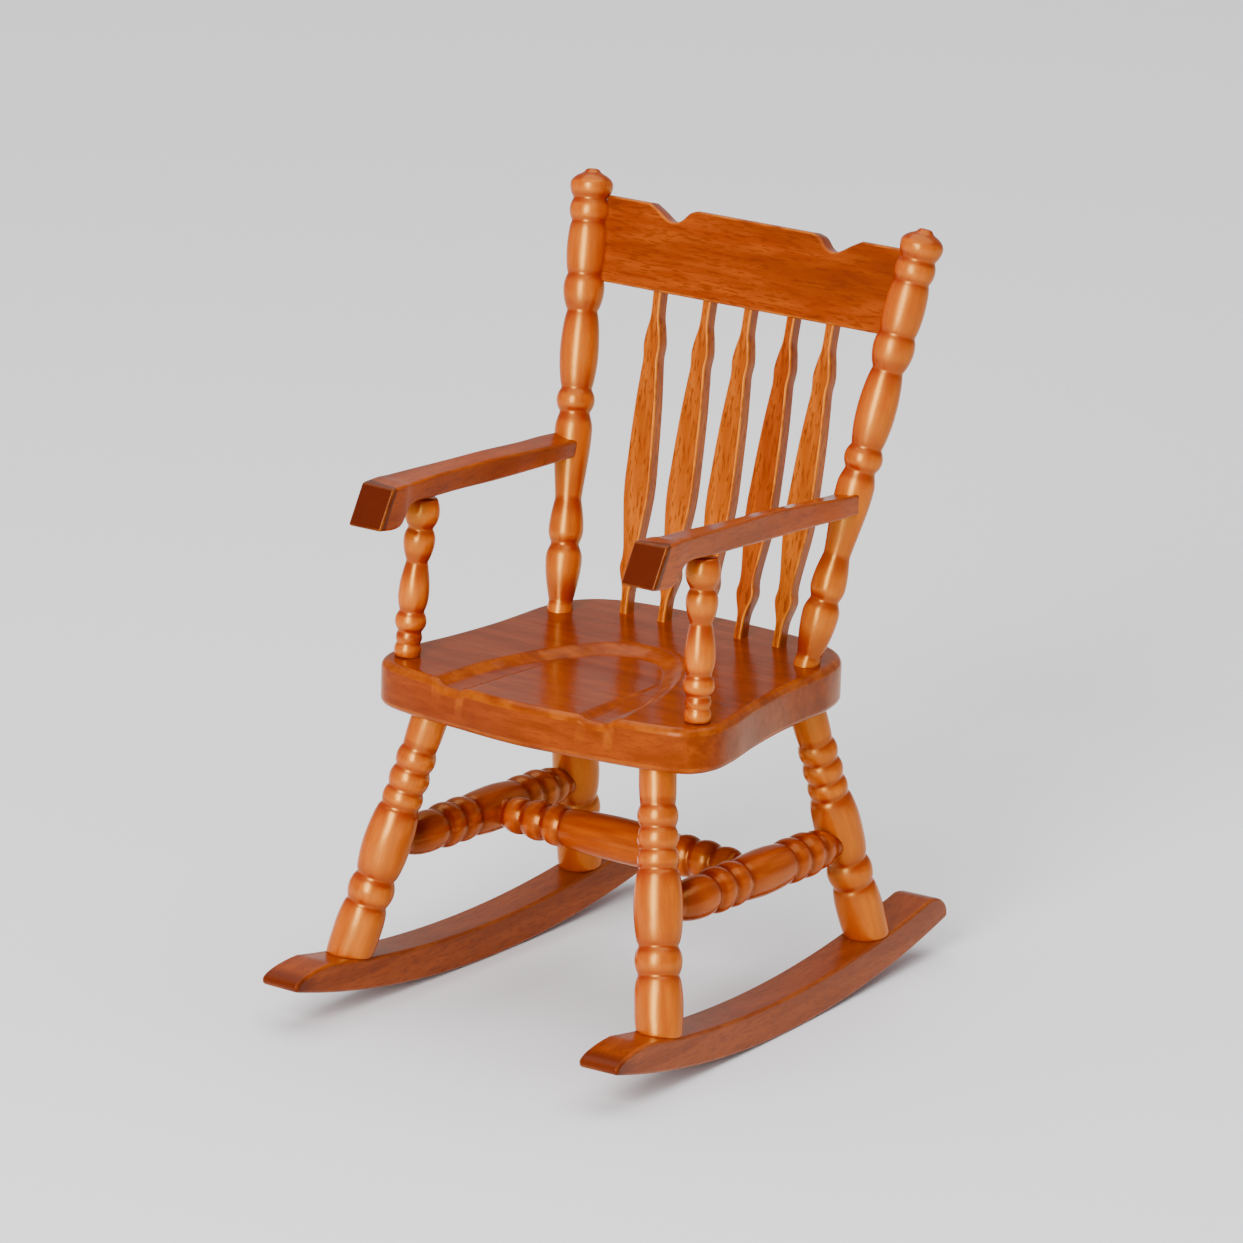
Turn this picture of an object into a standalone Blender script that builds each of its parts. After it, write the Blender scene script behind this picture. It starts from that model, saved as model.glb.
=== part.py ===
"""Dolls-house rocking chair: turned posts and legs, saddle seat, slatted back.

The chair faces -Y, +X is the sitter's left and +Z is up.  The origin is on the
floor, midway between the tips of the rockers.  Sizes are written in millimetres,
and left and right in the names are as seen from the front.
"""
import math

import bmesh
import bpy
from mathutils import Matrix, Vector

MM = 0.001

# Driving sizes
SEAT_TOP = 42.4
SEAT_THICKNESS = 5.7
SEAT_BOTTOM = SEAT_TOP - SEAT_THICKNESS
SADDLE_DEPTH = 0.85
ROCKER_WIDTH = 5.5
ROCKER_SPACING = 21.95
ROCKER_TOE_IN = 0.03
ROCKER_DEPTH = 4.6
ROCKER_RADIUS = 145.0
ROCKER_TOP_RADIUS = 170.0
ROCKER_HALF_LENGTH = 38.0
ROCKER_REST = 1.5
ROCKER_NOSE = 6.5
ROCKER_TAIL = 4.4
ROCKER_TIP = 0.6
SLAT_THICKNESS = 1.9
RAIL_THICKNESS = 2.4
RAIL_HEIGHT = 10.6
RAIL_HALF_LENGTH = 21.6
RAIL_SETBACK = 1.55
RAIL_BOTTOM = 81.3

# Joints
CLEARANCE = 0.1
END_GAP = 0.25
LEG_PLUNGE = 2.2
POST_PLUNGE = 2.6
TENON_DEPTH = 2.2
STRETCHER_END_RADIUS = 1.75
LEG_HEAD_RADIUS = 2.25
POST_FOOT_RADIUS = 1.6
SIDE_STRETCHER_STOP = 1.3
CROSS_STRETCHER_STOP = 1.0
ARM_POST_TENON = 0.85
ARM_SOCKET_DEPTH = 1.7
ARM_PIN_LEVEL = 61.95
RAIL_PIN_LEVEL = 4.2
SHOULDER_GAP = 0.2
LEG_TENON = 1.3
RAIL_TENON = 0.6
RAIL_TENON_SPAN = (18.0, 23.4)
ARM_TENON = 0.6
ARM_TENON_ROOT = 4.5
ARM_TENON_REACH = 0.4
SLAT_TENON = 0.45
# How far a tenon runs back into its own part, a bore runs out of its mouth, and a
# stretcher's bore runs out through the side of the turned part that it enters
TENON_ROOT = 2.0
BORE_OVERRUN = 3.0
SIDE_BORE_REACH = 5.0

# Eased edges
ROCKER_EASING = 0.25
BOARD_EASING = 0.2
ARM_EASING = 0.4
SEAT_EASING = 0.9

# Axes of the turned parts on the +X side: lower end, upper end
BACK_POST_FOOT = (18.1, 11.85, SEAT_TOP)
BACK_POST_BALL = (23.95, 24.75, 92.8)
ARM_POST_FOOT = (21.0, -16.15, SEAT_TOP)
ARM_POST_HEAD = (20.1, -14.6, 62.3)
FRONT_LEG_HEAD = (16.3, -17.2, SEAT_BOTTOM)
FRONT_LEG_FOOT = (22.6, -24.6, 6.4)
REAR_LEG_HEAD = (17.3, 13.25, SEAT_BOTTOM)
REAR_LEG_FOOT = (21.2, 22.4, 7.05)
SIDE_STRETCHER_FRONT_LEVEL = 19.9
SIDE_STRETCHER_REAR_LEVEL = 18.7
CROSS_STRETCHER_Y = 0.2

# The slats stand evenly on the seat, and their heads are set by eye, a little off an even pitch
SLAT_PITCH_SEAT = 5.6
SLAT_HEADS = (-12.5, -5.2, 0.8, 7.0, 12.6)
SLAT_FOOT_Y = 16.3
SLAT_HEAD_SETBACK = 0.25

SIDES = {"left": -1, "right": 1}

# Facets round a turned part and round a pin or a bore, and steps along the rocker's edges
TURNED_FACETS = 10
PIN_FACETS = 10
ROCKER_STEPS = 16
ROCKER_END_STEPS = 5


# ---------------------------------------------------------------- scene set-up

def clear_scene():
    for item in list(bpy.data.objects):
        bpy.data.objects.remove(item, do_unlink=True)


def new_collection(name):
    collection = bpy.data.collections.new(name)
    bpy.context.scene.collection.children.link(collection)
    return collection


def wood(name, colour, roughness):
    material = bpy.data.materials.new(name)
    material.use_nodes = True
    shader = material.node_tree.nodes["Principled BSDF"]
    shader.inputs["Base Color"].default_value = (*colour, 1.0)
    shader.inputs["Roughness"].default_value = roughness
    shader.inputs["Metallic"].default_value = 0.0
    return material


def add_object(name, mesh, collection, material=None):
    item = bpy.data.objects.new(name, mesh)
    collection.objects.link(item)
    if material is not None:
        mesh.materials.append(material)
    if collection is CUTTERS:
        item.hide_render = True
        item.display_type = "WIRE"
    return item


def sided(side, point):
    """A point given for the +X side, put on the wanted side, in metres."""
    return Vector((side * point[0], point[1], point[2])) * MM


# ---------------------------------------------------------------- turned shapes

def swell(length, belly, end, peak=0.5, fullness=0.8, steps=4):
    """One member of a turned shape, from one groove to the next."""
    return length, belly, end, peak, fullness, steps


def turned_outline(start_radius, members):
    """Heights and radii of a turned shape, from its lower end upwards."""
    height, radius = 0.0, start_radius
    outline = [(height, radius)]
    for length, belly, end, peak, fullness, steps in members:
        for step in range(1, steps + 1):
            t = step / steps
            if t <= peak:
                rise = math.sin(math.pi / 2 * t / peak) ** fullness
                value = radius + (belly - radius) * rise
            else:
                fall = math.cos(math.pi / 2 * (t - peak) / (1 - peak))
                value = end + (belly - end) * max(fall, 0.0) ** fullness
            outline.append((height + t * length, value))
        height += length
        radius = end
    return outline


def outline_length(members):
    return sum(member[0] for member in members)


def turned(name, outline, foot, towards, collection, material=None, grow=0.0):
    """A profile turned about the line that starts at foot and runs towards a point."""
    mesh = bpy.data.meshes.new(name)
    low, high = outline[0][0] - grow, outline[-1][0] + grow
    profile = [(0.0, high)]
    profile += [(radius + grow, height) for height, radius in reversed(outline)]
    profile += [(0.0, low)]
    vertices = [(radius * MM, 0.0, height * MM) for radius, height in profile]
    edges = [(index, index + 1) for index in range(len(vertices) - 1)]
    mesh.from_pydata(vertices, edges, [])
    item = add_object(name, mesh, collection, material)
    item.location = foot
    item.rotation_mode = "QUATERNION"
    item.rotation_quaternion = (towards - foot).to_track_quat("Z", "Y")
    screw = item.modifiers.new("turning", "SCREW")
    screw.steps = TURNED_FACETS
    screw.render_steps = TURNED_FACETS
    screw.use_merge_vertices = True
    screw.merge_threshold = 0.000001
    screw.use_smooth_shade = True
    return item


LEG_MEMBERS = [
    swell(8.2, 2.9, 2.35, 0.55, 0.5, 4),
    swell(3.5, 2.85, 2.25),
    swell(9.0, 2.95, 2.2, 0.5, 0.5, 5),
    swell(2.35, 2.5, 2.15),
    swell(2.65, 2.5, 2.1),
    swell(2.55, 2.45, 2.1),
    swell(5.0 + LEG_PLUNGE, 2.25, 2.15, 0.5, 0.5, 3),
]
LEG_START_RADIUS = 2.7

POST_MEMBERS = [
    swell(3.6, 1.6, 1.45, 0.6, 0.5, 3),
    swell(7.1, 2.25, 1.7, 0.75, 1.0, 5),
    swell(5.5, 2.15, 1.67, 0.3, 1.0, 4),
    swell(10.8, 2.32, 1.87, 0.8, 1.3, 5),
    swell(2.8, 2.37, 1.87),
    swell(9.6, 2.41, 1.87, 0.5, 0.8, 5),
    swell(4.5, 2.55, 2.14, 0.62),
    swell(6.5, 2.5, 2.1, 0.5, 0.6, 4),
    swell(2.8, 2.5, 2.12),
    swell(3.2, 2.67, 1.1, 0.53, 0.75, 5),
    swell(0.5, 1.0, 0.5, 0.3, 0.8, 2),
]
POST_START_RADIUS = 1.55

ARM_POST_MEMBERS = [
    swell(1.6, 1.65, 1.4, 0.5, 0.8, 3),
    swell(1.5, 1.6, 1.4, 0.5, 0.8, 3),
    swell(2.4, 1.92, 1.5),
    swell(6.3, 1.87, 1.3, 0.32, 1.0, 5),
    swell(4.1, 1.92, 1.45, 0.65),
    swell(3.7, 2.1, 1.65, 0.5, 0.8, 4),
]
ARM_POST_START_RADIUS = 1.5

SIDE_STRETCHER_MEMBERS = [
    swell(2.2, STRETCHER_END_RADIUS, STRETCHER_END_RADIUS, 0.5, 1.0, 1),
    swell(7.0, 2.6, 2.3, 0.7, 1.0, 4),
    swell(3.3, 2.8, 2.4),
    swell(3.3, 2.8, 2.4),
    swell(10.0, 2.85, 2.4, 0.5, 0.5, 4),
    swell(3.3, 2.8, 2.4),
    swell(3.3, 2.8, 2.3),
    swell(3.6, 2.45, STRETCHER_END_RADIUS, 0.3, 1.0, 3),
    swell(2.2, STRETCHER_END_RADIUS, STRETCHER_END_RADIUS, 0.5, 1.0, 1),
]

CROSS_STRETCHER_HALF = [
    swell(2.0, STRETCHER_END_RADIUS, STRETCHER_END_RADIUS, 0.5, 1.0, 1),
    swell(2.9, 2.3, 2.0),
    swell(3.0, 2.5, 2.1),
    swell(2.8, 2.6, 2.25),
]


# ---------------------------------------------------------------- flat and lofted shapes

def smooth_through(knots, steps, closed):
    """Catmull-Rom curve through the knots, as a list of points."""
    count = len(knots)
    spans = count if closed else count - 1
    path = []
    for span in range(spans):
        if closed:
            a, b, c, d = (Vector(knots[(span + k) % count]) for k in (-1, 0, 1, 2))
        else:
            ends = (max(span - 1, 0), span, span + 1, min(span + 2, count - 1))
            a, b, c, d = (Vector(knots[index]) for index in ends)
        for step in range(steps):
            t = step / steps
            path.append(0.5 * (2 * b + (c - a) * t + (2 * a - 5 * b + 4 * c - d) * t * t
                               + (3 * b - a - 3 * c + d) * t ** 3))
    if not closed:
        path.append(Vector(knots[-1]))
    return path


def mirrored(half):
    """A closed outline from its +X half; the half starts and ends on the axis."""
    return list(half) + [Vector((-p[0], p[1])) for p in reversed(half[1:-1])]


def both_edges(edge):
    """A closed outline from its +X edge, which keeps clear of the axis."""
    return list(edge) + [Vector((-p[0], p[1])) for p in reversed(edge)]


def board(name, outline, thickness, matrix, collection, material=None):
    """A flat piece cut to an outline, centred on the outline's plane."""
    curve = bpy.data.curves.new(name + "_outline", "CURVE")
    curve.dimensions = "2D"
    curve.fill_mode = "BOTH"
    curve.extrude = thickness / 2 * MM
    spline = curve.splines.new("POLY")
    spline.points.add(len(outline) - 1)
    spline.use_cyclic_u = True
    for point, place in zip(spline.points, outline):
        point.co = (place[0] * MM, place[1] * MM, 0.0, 1.0)
    guide = bpy.data.objects.new(name + "_outline", curve)
    CUTTERS.objects.link(guide)
    bpy.context.view_layer.update()
    evaluated = guide.evaluated_get(bpy.context.evaluated_depsgraph_get())
    mesh = bpy.data.meshes.new_from_object(evaluated)
    mesh.name = name
    bpy.data.objects.remove(guide, do_unlink=True)
    weld_and_orient(mesh)
    item = add_object(name, mesh, collection, material)
    item.matrix_world = matrix
    return item


def weld_and_orient(mesh):
    shape = bmesh.new()
    shape.from_mesh(mesh)
    bmesh.ops.remove_doubles(shape, verts=shape.verts, dist=0.000001)
    bmesh.ops.recalc_face_normals(shape, faces=shape.faces)
    shape.to_mesh(mesh)
    shape.free()


def loft(name, sections, collection, material=None):
    """A closed skin through sections that all have the same number of points (mm)."""
    mesh = bpy.data.meshes.new(name)
    shape = bmesh.new()
    rings = [[shape.verts.new(Vector(p) * MM) for p in section] for section in sections]
    for first, second in zip(rings, rings[1:]):
        for index in range(len(first)):
            after = (index + 1) % len(first)
            shape.faces.new((first[index], first[after], second[after], second[index]))
    shape.faces.new(rings[0])
    shape.faces.new(rings[-1])
    bmesh.ops.recalc_face_normals(shape, faces=shape.faces)
    shape.to_mesh(mesh)
    shape.free()
    return add_object(name, mesh, collection, material)


def pins(name, rods):
    """Round rods, each (start, end, radius in mm), in one cutting or joining object."""
    mesh = bpy.data.meshes.new(name)
    shape = bmesh.new()
    for start, end, radius in rods:
        axis = end - start
        turn = axis.to_track_quat("Z", "Y").to_matrix().to_4x4()
        place = Matrix.Translation((start + end) / 2) @ turn
        bmesh.ops.create_cone(shape, cap_ends=True, segments=PIN_FACETS, radius1=radius * MM,
                              radius2=radius * MM, depth=axis.length, matrix=place)
    shape.to_mesh(mesh)
    shape.free()
    return add_object(name, mesh, CUTTERS)


def boolean(item, other, operation):
    modifier = item.modifiers.new(operation.lower() + "_" + other.name, "BOOLEAN")
    modifier.operation = operation
    modifier.object = other


def ease_edges(item, width, segments, angle):
    bevel = item.modifiers.new("eased_edges", "BEVEL")
    bevel.width = width * MM
    bevel.segments = segments
    bevel.limit_method = "ANGLE"
    bevel.angle_limit = math.radians(angle)


# ---------------------------------------------------------------- axes shared by several parts

def leg_ends(side, row):
    if row == "front":
        return sided(side, FRONT_LEG_HEAD), sided(side, FRONT_LEG_FOOT)
    return sided(side, REAR_LEG_HEAD), sided(side, REAR_LEG_FOOT)


def point_at_height(start, end, height):
    share = (height * MM - start.z) / (end.z - start.z)
    return start.lerp(end, share)


def side_stretcher_ends(side):
    front = point_at_height(*leg_ends(side, "front"), SIDE_STRETCHER_FRONT_LEVEL)
    rear = point_at_height(*leg_ends(side, "rear"), SIDE_STRETCHER_REAR_LEVEL)
    return front, rear


def cross_stretcher_end(side):
    front, rear = side_stretcher_ends(side)
    share = (CROSS_STRETCHER_Y * MM - front.y) / (rear.y - front.y)
    return front.lerp(rear, share)


def post_lean():
    foot, ball = Vector(BACK_POST_FOOT), Vector(BACK_POST_BALL)
    return math.atan2(ball.y - foot.y, ball.z - foot.z)


def rail_frame():
    """The crest rail's own frame: x along it, y up its face, z out of its front."""
    foot, ball = sided(1, BACK_POST_FOOT), sided(1, BACK_POST_BALL)
    on_post = point_at_height(foot, ball, RAIL_BOTTOM)
    origin = Vector((0.0, on_post.y + RAIL_SETBACK * MM, on_post.z))
    return Matrix.Translation(origin) @ Matrix.Rotation(math.pi / 2 - post_lean(), 4, "X")


def slat_ends(number):
    """Where a slat's middle line meets the seat top and the underside of the rail."""
    step = number - (len(SLAT_HEADS) - 1) / 2
    foot = Vector((step * SLAT_PITCH_SEAT, SLAT_FOOT_Y, SEAT_TOP)) * MM
    head = rail_frame() @ (Vector((SLAT_HEADS[number], 0.0, -SLAT_HEAD_SETBACK)) * MM)
    return foot, head


def rocker_frame(side):
    """The rocker's own frame: x along it to the rear, y up, z across its width."""
    turn = Matrix.Rotation(side * math.atan(ROCKER_TOE_IN), 4, "Z")
    lay = Matrix(((0, 0, 1, 0), (1, 0, 0, 0), (0, 1, 0, 0), (0, 0, 0, 1)))
    place = Matrix.Translation((side * ROCKER_SPACING * MM, 0.0, 0.0))
    return place @ turn @ lay


def rocker_top(x):
    """Height of the rocker's upper edge at a distance x along it (mm)."""
    return ROCKER_DEPTH + arc_height(ROCKER_TOP_RADIUS, x)


def rocker_bottom(x):
    """The lower edge is lowest under the chair's centre of mass, where it rests."""
    return arc_height(ROCKER_RADIUS, x - ROCKER_REST)


def arc_height(radius, offset):
    return radius - math.sqrt(radius ** 2 - offset ** 2)


def on_rocker_top(side, row):
    """The point where a leg's axis passes through the rocker's upper edge."""
    head, foot = leg_ends(side, row)
    return point_at_height(head, foot, rocker_top(foot.y / MM))


# ---------------------------------------------------------------- parts

def make_rocker(name, side):
    outline = []
    for step in range(ROCKER_STEPS + 1):
        x = ROCKER_HALF_LENGTH * (2 * step / ROCKER_STEPS - 1)
        outline.append((x, rocker_bottom(x)))
    outline += quarter_round(ROCKER_HALF_LENGTH, -ROCKER_TAIL)
    reach = 2 * ROCKER_HALF_LENGTH - ROCKER_TAIL - ROCKER_NOSE
    for step in range(1, ROCKER_STEPS):
        x = ROCKER_HALF_LENGTH - ROCKER_TAIL - reach * step / ROCKER_STEPS
        outline.append((x, rocker_top(x)))
    outline += reversed(quarter_round(-ROCKER_HALF_LENGTH, ROCKER_NOSE))
    rocker = board(name, outline, ROCKER_WIDTH, rocker_frame(side), PARTS, RUSSET)
    ease_edges(rocker, ROCKER_EASING, 1, 50.0)
    rods = []
    for row in ("front", "rear"):
        surface = on_rocker_top(side, row)
        head, foot = leg_ends(side, row)
        down = (foot - head).normalized()
        bottom = surface + down * (TENON_DEPTH + END_GAP) * MM
        rods.append((bottom, surface - down * BORE_OVERRUN * MM, LEG_TENON + CLEARANCE))
    boolean(rocker, pins(name + "_bores", rods), "DIFFERENCE")


def quarter_round(tip_x, reach):
    """Points that round a rocker's end from its tip up to its upper edge."""
    tip_y = rocker_bottom(tip_x) + ROCKER_TIP
    rise = rocker_top(tip_x + reach) - tip_y
    points = []
    for step in range(ROCKER_END_STEPS + 1):
        angle = math.pi / 2 * step / ROCKER_END_STEPS
        across = 1 - math.cos(angle)
        points.append((tip_x + reach * across, tip_y + rise * math.sin(angle)))
    return points


def make_foot_cutter(side):
    """The space that a rocker takes, which ends the two legs that stand on it."""
    reach, depth, width = 36.0, 6.0, 14.0
    outline = [(-reach, -depth), (reach, -depth)]
    for step in range(ROCKER_STEPS + 1):
        x = reach * (1 - 2 * step / ROCKER_STEPS)
        outline.append((x, rocker_top(x) + CLEARANCE))
    name = "foot_cutter_right" if side > 0 else "foot_cutter_left"
    return board(name, outline, width, rocker_frame(side), CUTTERS)


def make_leg(name, side, row, foot_cutter):
    head, foot = leg_ends(side, row)
    length = outline_length(LEG_MEMBERS) - LEG_PLUNGE
    start = head + (foot - head).normalized() * length * MM
    outline = turned_outline(LEG_START_RADIUS, LEG_MEMBERS)
    leg = turned(name, outline, start, head, PARTS, HONEY)
    boolean(leg, foot_cutter, "DIFFERENCE")
    surface = on_rocker_top(side, row)
    down = (foot - head).normalized() * MM
    tenon = [(surface + down * TENON_DEPTH, surface - down * TENON_ROOT, LEG_TENON)]
    boolean(leg, pins(name + "_tenon", tenon), "UNION")
    front, rear = side_stretcher_ends(side)
    joint, other = (front, rear) if row == "front" else (rear, front)
    inward = (other - joint).normalized() * MM
    bore = [(joint + inward * (SIDE_STRETCHER_STOP - END_GAP), joint + inward * SIDE_BORE_REACH,
             STRETCHER_END_RADIUS + CLEARANCE)]
    boolean(leg, pins(name + "_bore", bore), "DIFFERENCE")


def make_side_stretcher(name, side):
    front, rear = side_stretcher_ends(side)
    inward = (rear - front).normalized() * MM
    spare = (rear - front).length / MM - 2 * SIDE_STRETCHER_STOP
    members = fitted(SIDE_STRETCHER_MEMBERS, spare)
    outline = turned_outline(STRETCHER_END_RADIUS, members)
    start = front + inward * SIDE_STRETCHER_STOP
    stretcher = turned(name, outline, start, rear, PARTS, HONEY)
    joint = cross_stretcher_end(side)
    across = Vector((-side * MM, 0.0, 0.0))
    bore = [(joint + across * (CROSS_STRETCHER_STOP - END_GAP), joint + across * SIDE_BORE_REACH,
             STRETCHER_END_RADIUS + CLEARANCE)]
    boolean(stretcher, pins(name + "_bore", bore), "DIFFERENCE")


def fitted(members, length):
    """The same members, their lengths scaled to fill a given length (mm)."""
    scale = length / outline_length(members)
    return [(member[0] * scale, *member[1:]) for member in members]


def make_cross_stretcher():
    left, right = cross_stretcher_end(-1), cross_stretcher_end(1)
    across = (right - left).normalized() * MM
    length = (right - left).length / MM - 2 * CROSS_STRETCHER_STOP
    barrel = length - 2 * outline_length(CROSS_STRETCHER_HALF)
    members = CROSS_STRETCHER_HALF + [swell(barrel, 2.75, 2.25, 0.5, 0.5, 5)]
    members += turned_round(CROSS_STRETCHER_HALF, STRETCHER_END_RADIUS)
    outline = turned_outline(STRETCHER_END_RADIUS, members)
    start = left + across * CROSS_STRETCHER_STOP
    turned("cross_stretcher", outline, start, right, PARTS, HONEY)


def turned_round(members, start_radius):
    """The same members end for end, so that a turned part can be symmetric."""
    grooves = [start_radius] + [member[2] for member in members]
    flipped = []
    for index in reversed(range(len(members))):
        length, belly, _, peak, fullness, steps = members[index]
        flipped.append((length, belly, grooves[index], 1 - peak, fullness, steps))
    return flipped


def make_back_post(name, side):
    post = turned(name, turned_outline(POST_START_RADIUS, POST_MEMBERS),
                  back_post_start(side), sided(side, BACK_POST_BALL), PARTS, HONEY)
    rail_inner, rail_outer = rail_tenon(side)
    arm_inner, arm_outer = arm_tenon(side)
    rods = [(rail_inner, past(rail_inner, rail_outer), RAIL_TENON + CLEARANCE),
            (arm_inner, past(arm_inner, arm_outer), ARM_TENON + CLEARANCE)]
    boolean(post, pins(name + "_bores", rods), "DIFFERENCE")


def back_post_start(side):
    foot, ball = sided(side, BACK_POST_FOOT), sided(side, BACK_POST_BALL)
    return foot - (ball - foot).normalized() * POST_PLUNGE * MM


def make_post_cutter(side):
    """The back post with clearance all round, which copes the rail and the arm."""
    name = "post_cutter_right" if side > 0 else "post_cutter_left"
    return turned(name, turned_outline(POST_START_RADIUS, POST_MEMBERS), back_post_start(side),
                  sided(side, BACK_POST_BALL), CUTTERS, grow=CLEARANCE)


def past(start, end):
    """The end of a blind bore for a pin that runs from start to end."""
    return end + (end - start).normalized() * END_GAP * MM


def arm_tenon(side):
    """The pin at the arm's rear end, from inside the arm to inside the back post."""
    foot, ball = sided(side, BACK_POST_FOOT), sided(side, BACK_POST_BALL)
    on_post = point_at_height(foot, ball, ARM_PIN_LEVEL)
    back = Vector((0.0, MM, 0.0))
    return on_post - back * ARM_TENON_ROOT, on_post + back * ARM_TENON_REACH


def rail_tenon(side):
    """The pin at one end of the crest rail, from inside the rail into its post."""
    frame = rail_frame()
    inner, outer = (Vector((side * x, RAIL_PIN_LEVEL, 0.0)) * MM for x in RAIL_TENON_SPAN)
    return frame @ inner, frame @ outer


def make_arm_post(name, side):
    foot, head = sided(side, ARM_POST_FOOT), sided(side, ARM_POST_HEAD)
    up = (head - foot).normalized() * MM
    outline = turned_outline(ARM_POST_START_RADIUS, ARM_POST_MEMBERS)
    post = turned(name, outline, foot + up * SHOULDER_GAP, head, PARTS, HONEY)
    tenon = [(foot - up * TENON_DEPTH, head + up * ARM_SOCKET_DEPTH, ARM_POST_TENON)]
    boolean(post, pins(name + "_tenons", tenon), "UNION")


ARM_SECTIONS = [
    # y at the top, y at the bottom, inner x, outer x, inner top, outer top, underside
    (-24.9, -27.6, 17.1, 21.9, 65.6, 65.7, 60.9),
    (-22.1, -23.2, 17.3, 21.85, 65.5, 65.8, 60.5),
    (-20.3, -20.3, 17.65, 21.75, 65.3, 65.7, 62.7),
    (-15.2, -15.2, 18.1, 21.6, 65.1, 65.5, 62.4),
    (-8.9, -8.9, 18.5, 21.5, 64.7, 65.2, 62.0),
    (-1.5, -1.5, 18.65, 21.4, 64.3, 64.9, 61.5),
    (6.6, 6.6, 18.65, 21.65, 63.65, 64.25, 61.2),
    (12.1, 12.1, 18.65, 22.2, 63.2, 63.8, 61.05),
    (17.15, 17.15, 18.75, 22.2, 62.9, 63.4, 60.9),
]


def make_arm(name, side, post_cutter):
    sections = []
    for top_y, low_y, inner, outer, inner_top, outer_top, under in ARM_SECTIONS:
        corners = [(inner, top_y, inner_top), (outer, top_y, outer_top),
                   (outer, low_y, under), (inner, low_y, under)]
        sections.append([(side * x, y, z) for x, y, z in corners])
    arm = loft(name, sections, PARTS, AMBER)
    ease_edges(arm, ARM_EASING, 2, 40.0)
    boolean(arm, post_cutter, "DIFFERENCE")
    foot, head = sided(side, ARM_POST_FOOT), sided(side, ARM_POST_HEAD)
    up = (head - foot).normalized() * MM
    socket = [(head - up * BORE_OVERRUN, head + up * (ARM_SOCKET_DEPTH + END_GAP),
               ARM_POST_TENON + CLEARANCE)]
    boolean(arm, pins(name + "_socket", socket), "DIFFERENCE")
    inner, outer = arm_tenon(side)
    boolean(arm, pins(name + "_tenon", [(inner, outer, ARM_TENON)]), "UNION")


def make_crest_rail(post_cutters):
    notch = [(8.3, RAIL_HEIGHT), (9.4, 10.2), (10.5, 9.1), (11.5, 8.75), (12.5, 8.95),
             (13.9, 9.8), (15.4, RAIL_HEIGHT)]
    edge = smooth_through(notch, 3, False)
    edge += [Vector((RAIL_HALF_LENGTH, RAIL_HEIGHT)), Vector((RAIL_HALF_LENGTH, 0.0))]
    rail = board("crest_rail", both_edges(edge), RAIL_THICKNESS, rail_frame(), PARTS, AMBER)
    ease_edges(rail, BOARD_EASING, 1, 50.0)
    for cutter in post_cutters:
        boolean(rail, cutter, "DIFFERENCE")
    mortises = []
    for number in range(len(SLAT_HEADS)):
        foot, head = slat_ends(number)
        up = (head - foot).normalized() * MM
        mortises.append((head - up * BORE_OVERRUN, head + up * (TENON_DEPTH + END_GAP),
                         SLAT_TENON + CLEARANCE))
    boolean(rail, pins("rail_mortises", mortises), "DIFFERENCE")
    tenons = [(*rail_tenon(side), RAIL_TENON) for side in SIDES.values()]
    boolean(rail, pins("rail_tenons", tenons), "UNION")


def make_slat(name, number):
    foot, head = slat_ends(number)
    up = (head - foot).normalized()
    length = (head - foot).length / MM
    knots = [(0.55, 0.15), (0.55, 2.6), (1.1, 4.7), (1.22, 5.7), (1.02, 7.8), (1.78, 14.5),
             (1.72, 20.0), (1.5, 25.5), (1.2, 29.5), (1.06, 31.4), (1.2, 33.1), (0.95, 34.9),
             (0.6, 36.7), (0.6, length - CLEARANCE)]
    outline = both_edges(smooth_through(knots, 2, False))
    across = (Vector((1, 0, 0)) - up * up.x).normalized()
    front = across.cross(up)
    frame = Matrix((across, up, front)).transposed().to_4x4()
    frame.translation = foot
    slat = board(name, outline, SLAT_THICKNESS, frame, PARTS, AMBER)
    ease_edges(slat, BOARD_EASING, 1, 50.0)
    reach = up * MM
    tenons = [(foot - reach * TENON_DEPTH, foot + reach * TENON_ROOT, SLAT_TENON),
              (head - reach * TENON_ROOT, head + reach * TENON_DEPTH, SLAT_TENON)]
    boolean(slat, pins(name + "_tenons", tenons), "UNION")


def make_seat():
    half = [(0.0, -23.2), (9.1, -22.4), (17.2, -21.3), (22.0, -19.7), (23.9, -16.4),
            (23.8, -12.1), (22.5, -5.2), (21.6, 2.0), (21.4, 7.5), (21.2, 12.5),
            (19.9, 16.9), (16.5, 20.2), (10.7, 21.8), (0.0, 22.4)]
    outline = smooth_through(mirrored([Vector(p) for p in half]), 2, True)
    middle = Matrix.Translation((0.0, 0.0, (SEAT_TOP - SEAT_THICKNESS / 2) * MM))
    seat = board("seat", outline, SEAT_THICKNESS, middle, PARTS, AMBER)
    ease_edges(seat, SEAT_EASING, 2, 50.0)
    boolean(seat, make_saddle_cutter(), "DIFFERENCE")
    boolean(seat, pins("seat_bores", seat_bores()), "DIFFERENCE")


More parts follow.
